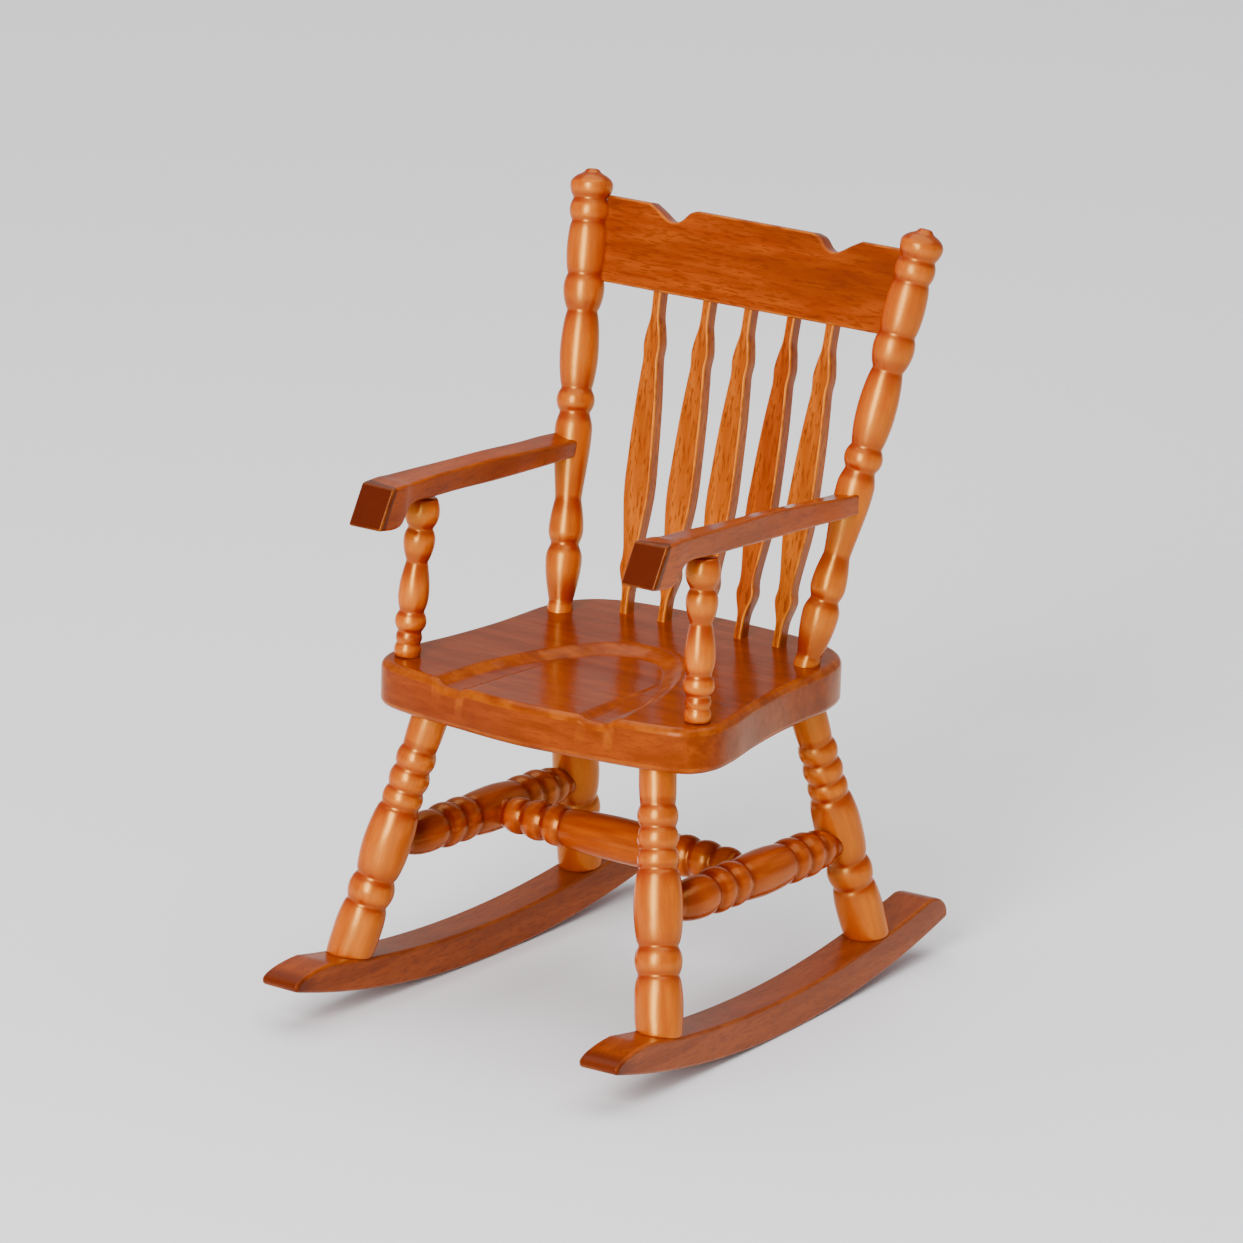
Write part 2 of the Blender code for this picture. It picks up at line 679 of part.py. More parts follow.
def make_saddle_cutter():
    """The dished part of the seat: two thigh hollows either side of a flat pommel."""
    rim = [(13.3, -26.5), (13.0, -18.9), (12.6, -12.9), (11.9, -9.7), (10.6, -5.2),
           (9.0, -1.2), (6.3, 3.3), (3.2, 5.6), (0.0, 6.2)]
    floor = [(11.9, -26.5), (11.6, -18.7), (11.1, -12.9), (10.3, -10.3), (9.0, -6.5),
             (7.3, -3.4), (4.9, 0.4), (2.4, 2.3), (0.0, 2.8)]
    above = 0.5  # the cutter stands this far out of the seat, its walls running on at their slope
    flare = above / SADDLE_DEPTH
    opening = [(r[0] * (1 + flare) - f[0] * flare, r[1] * (1 + flare) - f[1] * flare)
               for r, f in zip(rim, floor)]
    sections = []
    for knots, height in ((opening, SEAT_TOP + above), (floor, SEAT_TOP - SADDLE_DEPTH)):
        half = [Vector((0.0, -26.5))] + smooth_through(knots, 2, False)
        sections.append([(p[0], p[1], height) for p in mirrored(half)])
    saddle = loft("saddle_cutter", sections, CUTTERS)
    front = [(-8.2, -27.5, -0.2), (8.2, -27.5, -0.2), (12.0, -27.5, -2.2), (-12.0, -27.5, -2.2)]
    rear = [(-7.4, -1.5, -0.93), (7.4, -1.5, -0.93), (10.0, -1.5, -2.2), (-10.0, -1.5, -2.2)]
    pommel = [[(x, y, SEAT_TOP + z) for x, y, z in section] for section in (front, rear)]
    boolean(saddle, loft("pommel_guide", pommel, CUTTERS), "DIFFERENCE")
    return saddle


def seat_bores():
    rods = []
    for side in SIDES.values():
        start = back_post_start(side)
        ball = sided(side, BACK_POST_BALL)
        rise = (ball - start).normalized() * MM
        rods.append((start - rise * END_GAP, start + rise * (POST_PLUNGE + BORE_OVERRUN),
                     POST_FOOT_RADIUS + CLEARANCE))
        foot, head = sided(side, ARM_POST_FOOT), sided(side, ARM_POST_HEAD)
        up = (head - foot).normalized() * MM
        rods.append((foot - up * (TENON_DEPTH + END_GAP), foot + up * BORE_OVERRUN,
                     ARM_POST_TENON + CLEARANCE))
        for row in ("front", "rear"):
            leg_head, leg_foot = leg_ends(side, row)
            lift = (leg_head - leg_foot).normalized() * MM
            rods.append((leg_head - lift * BORE_OVERRUN, leg_head + lift * (LEG_PLUNGE + END_GAP),
                         LEG_HEAD_RADIUS + CLEARANCE))
    for number in range(len(SLAT_HEADS)):
        foot, head = slat_ends(number)
        up = (head - foot).normalized() * MM
        rods.append((foot - up * (TENON_DEPTH + END_GAP), foot + up * BORE_OVERRUN,
                     SLAT_TENON + CLEARANCE))
    return rods


clear_scene()
PARTS = new_collection("rocking_chair")
CUTTERS = new_collection("cutters")
HONEY = wood("honey_lacquer", (0.56, 0.16, 0.02), 0.22)
AMBER = wood("amber_lacquer", (0.36, 0.085, 0.012), 0.28)
RUSSET = wood("russet_lacquer", (0.30, 0.085, 0.025), 0.32)

make_seat()
post_cutters = []
for hand, side in SIDES.items():
    make_rocker("rocker_" + hand, side)
    foot_cutter = make_foot_cutter(side)
    for row in ("front", "rear"):
        make_leg(row + "_leg_" + hand, side, row, foot_cutter)
    make_side_stretcher("side_stretcher_" + hand, side)
    make_back_post("back_post_" + hand, side)
    make_arm_post("arm_post_" + hand, side)
    post_cutter = make_post_cutter(side)
    post_cutters.append(post_cutter)
    make_arm("arm_" + hand, side, post_cutter)
make_cross_stretcher()
make_crest_rail(post_cutters)
for number in range(len(SLAT_HEADS)):
    make_slat("back_slat_" + str(number + 1), number)
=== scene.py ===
"""Looks of the dolls-house rocking chair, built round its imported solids.

Every piece is remade with a finer surface in the place of its solid: lathe-turned
members, sawn boards with eased edges, and a dished seat, all in a thick gloss lacquer.
Lengths are in millimetres until they become a mesh.
"""
import math

import bmesh
import bpy
import numpy as np
from mathutils import Matrix, Vector, noise


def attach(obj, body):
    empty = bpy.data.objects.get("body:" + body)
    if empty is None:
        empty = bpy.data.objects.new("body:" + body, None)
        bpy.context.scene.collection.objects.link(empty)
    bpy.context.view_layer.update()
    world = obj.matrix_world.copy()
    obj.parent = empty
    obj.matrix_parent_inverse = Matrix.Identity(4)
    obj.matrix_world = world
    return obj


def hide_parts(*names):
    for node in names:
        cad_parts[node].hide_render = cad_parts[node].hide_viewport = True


MM = 0.001
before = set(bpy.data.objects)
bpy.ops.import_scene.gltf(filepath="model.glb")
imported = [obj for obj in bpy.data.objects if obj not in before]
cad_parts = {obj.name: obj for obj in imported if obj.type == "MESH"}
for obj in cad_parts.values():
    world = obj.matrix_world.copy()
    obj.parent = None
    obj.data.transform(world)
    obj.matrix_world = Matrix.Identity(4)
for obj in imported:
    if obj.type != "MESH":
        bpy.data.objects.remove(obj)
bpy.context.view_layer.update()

# ---------------------------------------------------------------- driving sizes, as in the solids

SEAT_TOP = 42.4
SEAT_THICKNESS = 5.7
SEAT_BOTTOM = SEAT_TOP - SEAT_THICKNESS
SADDLE_DEPTH = 0.85
ROCKER_WIDTH = 5.5
ROCKER_SPACING = 21.95
ROCKER_TOE_IN = 0.03
ROCKER_DEPTH = 4.6
ROCKER_RADIUS = 145.0
ROCKER_TOP_RADIUS = 170.0
ROCKER_HALF_LENGTH = 38.0
ROCKER_REST = 1.5
ROCKER_NOSE = 6.5
ROCKER_TAIL = 4.4
ROCKER_TIP = 0.6
SLAT_THICKNESS = 1.9
RAIL_THICKNESS = 2.4
RAIL_HEIGHT = 10.6
RAIL_HALF_LENGTH = 21.6
RAIL_SETBACK = 1.55
RAIL_BOTTOM = 81.3
LEG_PLUNGE = 2.2
POST_PLUNGE = 2.6
SIDE_STRETCHER_STOP = 1.3
CROSS_STRETCHER_STOP = 1.0

BACK_POST_FOOT = (18.1, 11.85, SEAT_TOP)
BACK_POST_BALL = (23.95, 24.75, 92.8)
ARM_POST_FOOT = (21.0, -16.15, SEAT_TOP)
ARM_POST_HEAD = (20.1, -14.6, 62.3)
FRONT_LEG_HEAD = (16.3, -17.2, SEAT_BOTTOM)
FRONT_LEG_FOOT = (22.6, -24.6, 6.4)
REAR_LEG_HEAD = (17.3, 13.25, SEAT_BOTTOM)
REAR_LEG_FOOT = (21.2, 22.4, 7.05)
SIDE_STRETCHER_FRONT_LEVEL = 19.9
SIDE_STRETCHER_REAR_LEVEL = 18.7
CROSS_STRETCHER_Y = 0.2
SLAT_PITCH_SEAT = 5.6
SLAT_HEADS = (-12.5, -5.2, 0.8, 7.0, 12.6)
SLAT_FOOT_Y = 16.3
SLAT_HEAD_SETBACK = 0.25

# How the surfaces are made: counts, and lengths in millimetres.
SIDES = {"left": -1, "right": 1}
TURNED_SEGMENTS = 56
SAMPLE_STEP = 0.16
LACQUER_FILL = 0.22
GROOVE_WINDOW = 1.5
GROOVE_FULL_DEPTH = 0.36
WOBBLE = 0.012
WOBBLE_ROUND = 0.8
WOBBLE_ALONG = 0.35
FOOT_REACH = 8.0
FOOT_CUT_PASSES = 4
CURVE_STEPS = 8
ARM_STEPS = 5
CORNER_ANGLE = math.radians(40)
EASING_SEGMENTS = 4
ROCKER_EASING = 0.45
ARM_EASING = 0.45
RAIL_EASING = 0.35
SLAT_EASING = 0.38
GRAIN_LAYERS = ("grain_x", "grain_y", "grain_z")


# ---------------------------------------------------------------- turned profiles

def swell(length, belly, end, peak, fullness):
    """One member of a turned shape, from one groove to the next.

    It has its length, its largest radius, the radius of the groove that ends it, the share
    of its length at which it is widest, and how full it is: lower is more like a barrel.
    """
    return length, belly, end, peak, fullness


LEG_MEMBERS = [
    swell(8.2, 2.9, 2.35, 0.55, 0.42),
    swell(3.5, 2.85, 2.25, 0.5, 0.72),
    swell(9.0, 2.95, 2.2, 0.5, 0.42),
    swell(2.35, 2.5, 2.1, 0.5, 0.72),
    swell(2.65, 2.5, 2.05, 0.5, 0.72),
    swell(2.55, 2.45, 2.05, 0.5, 0.72),
    swell(5.0 + LEG_PLUNGE, 2.25, 2.15, 0.5, 0.5),
]
LEG_START_RADIUS = 2.7

POST_MEMBERS = [
    swell(3.6, 1.6, 1.45, 0.6, 0.5),
    swell(7.1, 2.25, 1.7, 0.75, 1.0),
    swell(5.5, 2.15, 1.64, 0.3, 1.0),
    swell(10.8, 2.32, 1.84, 0.8, 1.3),
    swell(2.8, 2.37, 1.84, 0.5, 0.75),
    swell(9.6, 2.41, 1.84, 0.5, 0.7),
    swell(4.5, 2.55, 2.1, 0.62, 0.75),
    swell(6.5, 2.5, 2.06, 0.5, 0.5),
    swell(2.8, 2.5, 2.06, 0.5, 0.72),
    swell(3.2, 2.67, 1.1, 0.53, 0.72),
    swell(0.5, 1.0, 0.5, 0.3, 0.8),
]
POST_START_RADIUS = 1.55

ARM_POST_MEMBERS = [
    swell(1.6, 1.65, 1.36, 0.5, 0.75),
    swell(1.5, 1.6, 1.36, 0.5, 0.75),
    swell(2.4, 1.92, 1.46, 0.5, 0.75),
    swell(6.3, 1.87, 1.3, 0.32, 1.0),
    swell(4.1, 1.92, 1.42, 0.65, 0.8),
    swell(3.7, 2.1, 1.65, 0.5, 0.75),
]
ARM_POST_START_RADIUS = 1.5

STRETCHER_END_RADIUS = 1.75
SIDE_STRETCHER_MEMBERS = [
    swell(2.2, STRETCHER_END_RADIUS, STRETCHER_END_RADIUS, 0.5, 1.0),
    swell(7.0, 2.6, 2.25, 0.7, 0.8),
    swell(3.3, 2.8, 2.35, 0.5, 0.7),
    swell(3.3, 2.8, 2.35, 0.5, 0.7),
    swell(10.0, 2.85, 2.35, 0.5, 0.45),
    swell(3.3, 2.8, 2.35, 0.5, 0.7),
    swell(3.3, 2.8, 2.25, 0.5, 0.7),
    swell(3.6, 2.45, STRETCHER_END_RADIUS, 0.3, 1.0),
    swell(2.2, STRETCHER_END_RADIUS, STRETCHER_END_RADIUS, 0.5, 1.0),
]
CROSS_STRETCHER_HALF = [
    swell(2.0, STRETCHER_END_RADIUS, STRETCHER_END_RADIUS, 0.5, 1.0),
    swell(2.9, 2.3, 1.95, 0.5, 0.7),
    swell(3.0, 2.5, 2.05, 0.5, 0.7),
    swell(2.8, 2.6, 2.2, 0.5, 0.7),
]


def turned_outline(start_radius, members):
    """Heights and radii of a turned shape, from its lower end upwards."""
    height, radius = 0.0, start_radius
    outline = [(height, radius)]
    for length, belly, end, peak, fullness in members:
        steps = max(6, round(length / SAMPLE_STEP))
        for step in range(1, steps + 1):
            t = step / steps
            if t <= peak:
                rise = math.sin(math.pi / 2 * t / peak) ** fullness
                value = radius + (belly - radius) * rise
            else:
                fall = math.cos(math.pi / 2 * (t - peak) / (1 - peak))
                value = end + (belly - end) * max(fall, 0.0) ** fullness
            outline.append((height + t * length, value))
        height += length
        radius = end
    return lacquered(outline)


def lacquered(outline):
    """Fill the bottoms of the cuts a little, as thick lacquer does."""
    heights = np.array([point[0] for point in outline])
    radii = np.array([point[1] for point in outline])
    weights = np.exp(-((heights[:, None] - heights[None]) / LACQUER_FILL) ** 2)
    filled = (weights * radii).sum(1) / weights.sum(1)
    filled[[0, -1]] = radii[[0, -1]]
    return list(zip(heights.tolist(), filled.tolist()))


def outline_length(members):
    return sum(member[0] for member in members)


def fitted(members, length):
    """The same members, with their lengths scaled to fill a given length."""
    scale = length / outline_length(members)
    return [(member[0] * scale, *member[1:]) for member in members]


def turned_round(members, start_radius):
    """The same members end for end, so that a turned part can be symmetric."""
    grooves = [start_radius] + [member[2] for member in members]
    flipped = []
    for index in reversed(range(len(members))):
        length, belly, _, peak, fullness = members[index]
        flipped.append((length, belly, grooves[index], 1 - peak, fullness))
    return flipped


def groove_depths(outline):
    """How deep each height lies in a groove: 0 on a belly, 1 at the bottom of a cut."""
    heights = np.array([point[0] for point in outline])
    radii = np.array([point[1] for point in outline])
    depths = []
    for height, radius in zip(heights, radii):
        near = radii[abs(heights - height) < GROOVE_WINDOW]
        depths.append(min(1.0, max(0.0, (near.max() - radius) / GROOVE_FULL_DEPTH)))
    return depths


# ---------------------------------------------------------------- piece helpers

def sided(side, point):
    """A point given for the +X side, put on the wanted side, in metres."""
    return Vector((side * point[0], point[1], point[2])) * MM


def new_piece(name, shape, matrix, material):
    """An object from a shape in its own frame, whose coordinates are kept for the grain."""
    for title in GRAIN_LAYERS:
        shape.verts.layers.float.new(title)
    layers = [shape.verts.layers.float[title] for title in GRAIN_LAYERS]
    for vertex in shape.verts:
        for layer, value in zip(layers, vertex.co):
            vertex[layer] = value
    shape.transform(matrix)
    mesh = bpy.data.meshes.new(name)
    shape.to_mesh(mesh)
    shape.free()
    mesh.materials.append(material)
    mesh.shade_smooth()
    piece = bpy.data.objects.new(name, mesh)
    bpy.context.scene.collection.objects.link(piece)
    return piece


def stands_for(piece, node):
    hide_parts(node)
    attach(piece, "root")


def turned(name, outline, foot, towards, material, seat_on=None):
    """A lathe-turned piece about the line that starts at foot and runs towards a point.

    seat_on gives a point's height (mm) above the surface that the foot is cut to fit. The
    lowest stretch of the piece, FOOT_REACH long, is drawn up or down to meet it.
    """
    shape = bmesh.new()
    # Each ring's depth in a groove, drawn darker in the lacquer: pooled stain and painted shade.
    layer = shape.verts.layers.float.new("darkening")
    depths = groove_depths(outline)
    phase = sum(ord(letter) for letter in name)
    axis = towards - foot
    matrix = Matrix.Translation(foot) @ axis.to_track_quat("Z", "Y").to_matrix().to_4x4()
    starts = [foot_cut(matrix, outline[0][1], step, seat_on) for step in range(TURNED_SEGMENTS)]
    rings = []
    for (nominal, radius), depth in zip(outline, depths):
        ring = []
        for step in range(TURNED_SEGMENTS):
            angle = 2 * math.pi * step / TURNED_SEGMENTS
            height = nominal + starts[step] * max(0.0, 1 - nominal / FOOT_REACH)
            wobble = noise.noise(Vector((math.cos(angle) * WOBBLE_ROUND,
                                         math.sin(angle) * WOBBLE_ROUND,
                                         height * WOBBLE_ALONG + phase)))
            r = radius * (1 + WOBBLE * wobble)
            place = (r * math.cos(angle) * MM, r * math.sin(angle) * MM, height * MM)
            vertex = shape.verts.new(place)
            vertex[layer] = depth
            ring.append(vertex)
        rings.append(ring)
    for low, high in zip(rings, rings[1:]):
        for step in range(TURNED_SEGMENTS):
            after = (step + 1) % TURNED_SEGMENTS
            shape.faces.new((low[step], low[after], high[after], high[step]))
    for ring, outward in ((rings[0], False), (rings[-1], True)):
        hub = shape.verts.new((0.0, 0.0, sum(vertex.co.z for vertex in ring) / len(ring)))
        for step in range(TURNED_SEGMENTS):
            pair = (ring[step], ring[(step + 1) % TURNED_SEGMENTS])
            shape.faces.new((hub, *pair) if outward else (hub, *reversed(pair)))
    return new_piece(name, shape, matrix, material)


def foot_cut(matrix, radius, step, seat_on):
    """How far up its axis (mm) a turned part's foot starts, on one of its lines."""
    if seat_on is None:
        return 0.0
    angle = 2 * math.pi * step / TURNED_SEGMENTS
    height = 0.0
    for _ in range(FOOT_CUT_PASSES):
        local = Vector((radius * math.cos(angle), radius * math.sin(angle), height))
        height -= seat_on(matrix @ (local * MM)) / matrix[2][2]
    return height


def smooth_through(knots, steps, closed=False):
    """Catmull-Rom curve through the knots, as a list of points."""
    count = len(knots)
    spans = count if closed else count - 1
    path = []
    for span in range(spans):
        if closed:
            a, b, c, d = (Vector(knots[(span + k) % count]) for k in (-1, 0, 1, 2))
        else:
            ends = (max(span - 1, 0), span, span + 1, min(span + 2, count - 1))
            a, b, c, d = (Vector(knots[index]) for index in ends)
        for step in range(steps):
            t = step / steps
            path.append(0.5 * (2 * b + (c - a) * t + (2 * a - 5 * b + 4 * c - d) * t * t
                               + (3 * b - a - 3 * c + d) * t ** 3))
    if not closed:
        path.append(Vector(knots[-1]))
    return path


def both_edges(edge):
    """A closed outline from its +X edge, whose ends keep clear of the axis."""
    return list(edge) + [Vector((-p[0], p[1])) for p in reversed(edge)]


def board(name, outline, thickness, matrix, material, easing):
    """A flat board cut to an outline, with its long edges rounded over."""
    shape = bmesh.new()
    half = thickness / 2
    lower = [shape.verts.new((p[0] * MM, p[1] * MM, -half * MM)) for p in outline]
    upper = [shape.verts.new((p[0] * MM, p[1] * MM, half * MM)) for p in outline]
    shape.faces.new(list(reversed(lower)))
    shape.faces.new(upper)
    for index in range(len(outline)):
        after = (index + 1) % len(outline)
        shape.faces.new((lower[index], lower[after], upper[after], upper[index]))
    bmesh.ops.recalc_face_normals(shape, faces=shape.faces)
    ease_edges(shape, easing)
    return even_shading(new_piece(name, shape, matrix, material))


def ease_edges(shape, easing):
    """Round the corners over, and mark the rounding for gold: edge wear and painted highlight."""
    wear_and_highlight = shape.verts.layers.float.new("wear_and_highlight")
    corners = [edge for edge in shape.edges if edge.calc_face_angle() > CORNER_ANGLE]
    made = bmesh.ops.bevel(shape, geom=corners, offset=easing * MM, segments=EASING_SEGMENTS,
                           profile=0.5, affect="EDGES", clamp_overlap=True)
    strips = set(made["faces"])
    for vertex in {vertex for face in strips for vertex in face.verts}:
        if all(face in strips for face in vertex.link_faces):
            vertex[wear_and_highlight] = 1.0


def even_shading(piece):
    """Keep flat faces flat where they meet a rounded corner."""
    piece.modifiers.new("even_shading", "WEIGHTED_NORMAL")
    return piece


# ---------------------------------------------------------------- lacquered wood

# The gold goes on eased edges, as edge wear and painted highlight, and on the seat's dished
# walls, as painted highlight.
GOLD = (0.50, 0.17, 0.010)
GRAIN_STRETCH = 0.14
GRAIN_ROUGHNESS = 0.6
# How far cuts and marked ends go to deep: in the cuts, pooled stain and painted shade.
DARKENING_SHARE = 0.95
COAT_IOR = 1.12
MATT_SPREAD = 0.05

# Each noise as its features to the metre and its detail.
STREAKS = (900.0, 5.0)
CLOUDS = (130.0, 2.0)
SPECKS = (3600.0, 2.0)
# Noise that breaks up the gold of edge wear and painted highlight.
GOLD_BREAKUP = (260.0, 3.0)
WAVES = (420.0, 2.0)

# Each bump as its strength and its depth in metres.
SKIN_BUMP = (0.35, 0.00012)
GRAIN_BUMP = (0.25, 0.00004)


def lacquer(name, deep, body, bright, grain_axis, blotch=0.5, pores=0.3, gold_share=0.7,
            sheen=(1.0, 0.45, 0.12), shine=0.5, matt=0.33, ior=1.5,
            varnish=(1.0, 0.86, 0.7), gloss=0.16):
    """Stained wood under gloss lacquer: streaked grain, pores, and cuts drawn darker as pooled
    stain and painted shade.

    The grain runs along its axis, from body to bright, with deep in its clouds, pores and
    cuts, by the shares blotch and pores; deep in the cuts is pooled stain and painted shade.
    The gold share is the share of gold on marked edges and walls: edge wear and painted
    highlight. Sheen, shine, matt and ior are the stained wood's gloss: its tint, level,
    roughness and index. Varnish and gloss are the lacquer's tint and roughness.
    """
    material = bpy.data.materials.new(name)
    material.use_nodes = True
    nodes, links = material.node_tree.nodes, material.node_tree.links
    shader = nodes["Principled BSDF"]
    stretch = [1.0, 1.0, 1.0]
    stretch["XYZ".index(grain_axis)] = GRAIN_STRETCH

    def attribute(title):
        node = nodes.new("ShaderNodeAttribute")
        node.attribute_name = title
        return node.outputs["Fac"]

    place = nodes.new("ShaderNodeCombineXYZ")
    for axis, title in enumerate(GRAIN_LAYERS):
        links.new(attribute(title), place.inputs[axis])

    def noise_of(kind, stretched=True):
        scale, detail = kind
        mapping = nodes.new("ShaderNodeMapping")
        mapping.inputs["Scale"].default_value = stretch if stretched else (1.0, 1.0, 1.0)
        links.new(place.outputs["Vector"], mapping.inputs["Vector"])
        texture = nodes.new("ShaderNodeTexNoise")
        texture.inputs["Scale"].default_value = scale
        texture.inputs["Detail"].default_value = detail
        texture.inputs["Roughness"].default_value = GRAIN_ROUGHNESS
        links.new(mapping.outputs["Vector"], texture.inputs["Vector"])
        return texture.outputs["Fac"]

    def remap(value, low, high, to_low, to_high):
        node = nodes.new("ShaderNodeMapRange")
        node.interpolation_type = "SMOOTHSTEP"
        for socket, number in zip(node.inputs[1:5], (low, high, to_low, to_high)):
            socket.default_value = number
        links.new(value, node.inputs[0])
        return node.outputs[0]

    def mix(share, first, second):
        node = nodes.new("ShaderNodeMix")
        node.data_type = "RGBA"
        links.new(share, node.inputs["Factor"])
        for socket, colour in ((node.inputs[6], first), (node.inputs[7], second)):
            if isinstance(colour, tuple):
                socket.default_value = (*colour, 1.0)
            else:
                links.new(colour, socket)
        return node.outputs[2]

    def bump(kind, height):
        node = nodes.new("ShaderNodeBump")
        node.inputs["Strength"].default_value, node.inputs["Distance"].default_value = kind
        links.new(height, node.inputs["Height"])
        return node

    streaks = noise_of(STREAKS)
    clouds = noise_of(CLOUDS)
    specks = noise_of(SPECKS)
    colour = mix(remap(streaks, 0.35, 0.68, 0.0, 1.0), body, bright)
    colour = mix(remap(clouds, 0.42, 0.66, 0.0, blotch), colour, deep)
    colour = mix(remap(specks, 0.50, 0.64, 0.0, pores), colour, deep)
    # Deep in the cuts, as pooled stain and painted shade; on the arms' front ends, as darker end
    # grain and painted shade; and towards the rockers' front tips.
    colour = mix(remap(attribute("darkening"), 0.1, 0.8, 0.0, DARKENING_SHARE), colour, deep)
    # Gold on the marked edges and walls, broken up by noise: edge wear and painted highlight.
    gold_mask = nodes.new("ShaderNodeMath")
    gold_mask.operation = "MULTIPLY"
    links.new(remap(attribute("wear_and_highlight"), 0.0, 1.0, 0.0, gold_share), gold_mask.inputs[0])
    gold_breakup = noise_of(GOLD_BREAKUP, stretched=False)
    links.new(remap(gold_breakup, 0.38, 0.62, 0.15, 1.0), gold_mask.inputs[1])
    colour = mix(gold_mask.outputs[0], colour, GOLD)
    links.new(colour, shader.inputs["Base Color"])

    roughness = remap(clouds, 0.3, 0.7, matt - MATT_SPREAD, matt + MATT_SPREAD)
    links.new(roughness, shader.inputs["Roughness"])
    shader.inputs["Specular IOR Level"].default_value = shine
    shader.inputs["Specular Tint"].default_value = (*sheen, 1.0)
    shader.inputs["IOR"].default_value = ior
    shader.inputs["Coat Weight"].default_value = 1.0
    shader.inputs["Coat Tint"].default_value = (*varnish, 1.0)
    shader.inputs["Coat Roughness"].default_value = gloss
    shader.inputs["Coat IOR"].default_value = COAT_IOR

    skin = bump(SKIN_BUMP, noise_of(WAVES, stretched=False))
    grain = bump(GRAIN_BUMP, specks)
    links.new(skin.outputs["Normal"], grain.inputs["Normal"])
    links.new(grain.outputs["Normal"], shader.inputs["Normal"])
    links.new(skin.outputs["Normal"], shader.inputs["Coat Normal"])
    return material


TURNED = lacquer(
    "turned_wood", (0.21, 0.012, 0.001), (0.33, 0.072, 0.002), (0.45, 0.13, 0.004), "Z",
    blotch=0.4, sheen=(1.0, 0.74, 0.22), shine=1.0, ior=1.7, varnish=(1.0, 0.70, 0.36))
STRETCHERS = lacquer(
    "stretcher_wood", (0.15, 0.009, 0.001), (0.24, 0.042, 0.001), (0.36, 0.09, 0.003), "Z",
    blotch=0.45, sheen=(1.0, 0.62, 0.18), shine=0.9, ior=1.6, varnish=(1.0, 0.68, 0.34))
RAIL = lacquer(
    "rail_wood", (0.085, 0.007, 0.001), (0.185, 0.025, 0.001), (0.27, 0.05, 0.002), "X",
    blotch=0.65, pores=0.6, gold_share=0.45)
SLATS = lacquer(
    "slat_wood", (0.12, 0.012, 0.001), (0.28, 0.056, 0.001), (0.40, 0.105, 0.004), "Y",
    blotch=0.6, pores=0.75, gold_share=1.0)
DARK_SLATS = lacquer(
    "dark_slat_wood", (0.10, 0.009, 0.001), (0.21, 0.030, 0.001), (0.30, 0.06, 0.002), "Y",
    blotch=0.6, pores=0.75, gold_share=1.0)
SEAT = lacquer(
    "seat_wood", (0.08, 0.008, 0.001), (0.15, 0.024, 0.001), (0.22, 0.043, 0.002), "X",
    pores=0.4, gold_share=0.3, shine=0.35, varnish=(1.0, 0.78, 0.55))
# The arms' deep is very dark for their front ends: darker end grain and painted shade.
ARMS = lacquer(
    "arm_wood", (0.045, 0.002, 0.001), (0.27, 0.042, 0.001), (0.34, 0.065, 0.002), "Y",
    pores=0.4, gold_share=0.15)
ROCKERS = lacquer(
    "rocker_wood", (0.07, 0.006, 0.001), (0.20, 0.036, 0.003), (0.27, 0.058, 0.008), "X",
    blotch=0.4, pores=0.5, gold_share=0.12, shine=0.3, matt=0.4, gloss=0.26)


# ---------------------------------------------------------------- axes shared by several pieces

def leg_ends(side, row):
    if row == "front":
        return sided(side, FRONT_LEG_HEAD), sided(side, FRONT_LEG_FOOT)
    return sided(side, REAR_LEG_HEAD), sided(side, REAR_LEG_FOOT)


def point_at_height(start, end, height):
    """The point of a line (m) that lies at a given height (mm)."""
    share = (height * MM - start.z) / (end.z - start.z)
    return start.lerp(end, share)


def side_stretcher_ends(side):
    front = point_at_height(*leg_ends(side, "front"), SIDE_STRETCHER_FRONT_LEVEL)
    rear = point_at_height(*leg_ends(side, "rear"), SIDE_STRETCHER_REAR_LEVEL)
    return front, rear


def cross_stretcher_end(side):
    front, rear = side_stretcher_ends(side)
    share = (CROSS_STRETCHER_Y * MM - front.y) / (rear.y - front.y)
    return front.lerp(rear, share)


def rail_frame():
    """The crest rail's own frame: x along it, y up its face, z out of its front."""
    foot, ball = sided(1, BACK_POST_FOOT), sided(1, BACK_POST_BALL)
    on_post = point_at_height(foot, ball, RAIL_BOTTOM)
    lean = math.atan2(ball.y - foot.y, ball.z - foot.z)
    origin = Vector((0.0, on_post.y + RAIL_SETBACK * MM, on_post.z))
    return Matrix.Translation(origin) @ Matrix.Rotation(math.pi / 2 - lean, 4, "X")


def rocker_frame(side):
    """The rocker's own frame: x along it to the rear, y up, z across its width."""
    turn = Matrix.Rotation(side * math.atan(ROCKER_TOE_IN), 4, "Z")
    lay = Matrix(((0, 0, 1, 0), (1, 0, 0, 0), (0, 1, 0, 0), (0, 0, 0, 1)))
    return Matrix.Translation((side * ROCKER_SPACING * MM, 0.0, 0.0)) @ turn @ lay


def arc_height(radius, offset):
    """How far an arc has risen at an offset from its lowest point."""
    return radius - math.sqrt(radius ** 2 - offset ** 2)


def rocker_top(x):
    return ROCKER_DEPTH + arc_height(ROCKER_TOP_RADIUS, x)


def rocker_bottom(x):
    return arc_height(ROCKER_RADIUS, x - ROCKER_REST)


# ---------------------------------------------------------------- pieces

ROCKER_STEPS = 72
ROCKER_END_STEPS = 14

# The front end is drawn darker: how far from the tip it starts, how fast it comes in, its most.
NOSE_DARKENING_REACH = 3.2
NOSE_DARKENING_FADE = 3.0
NOSE_DARKENING = 0.7


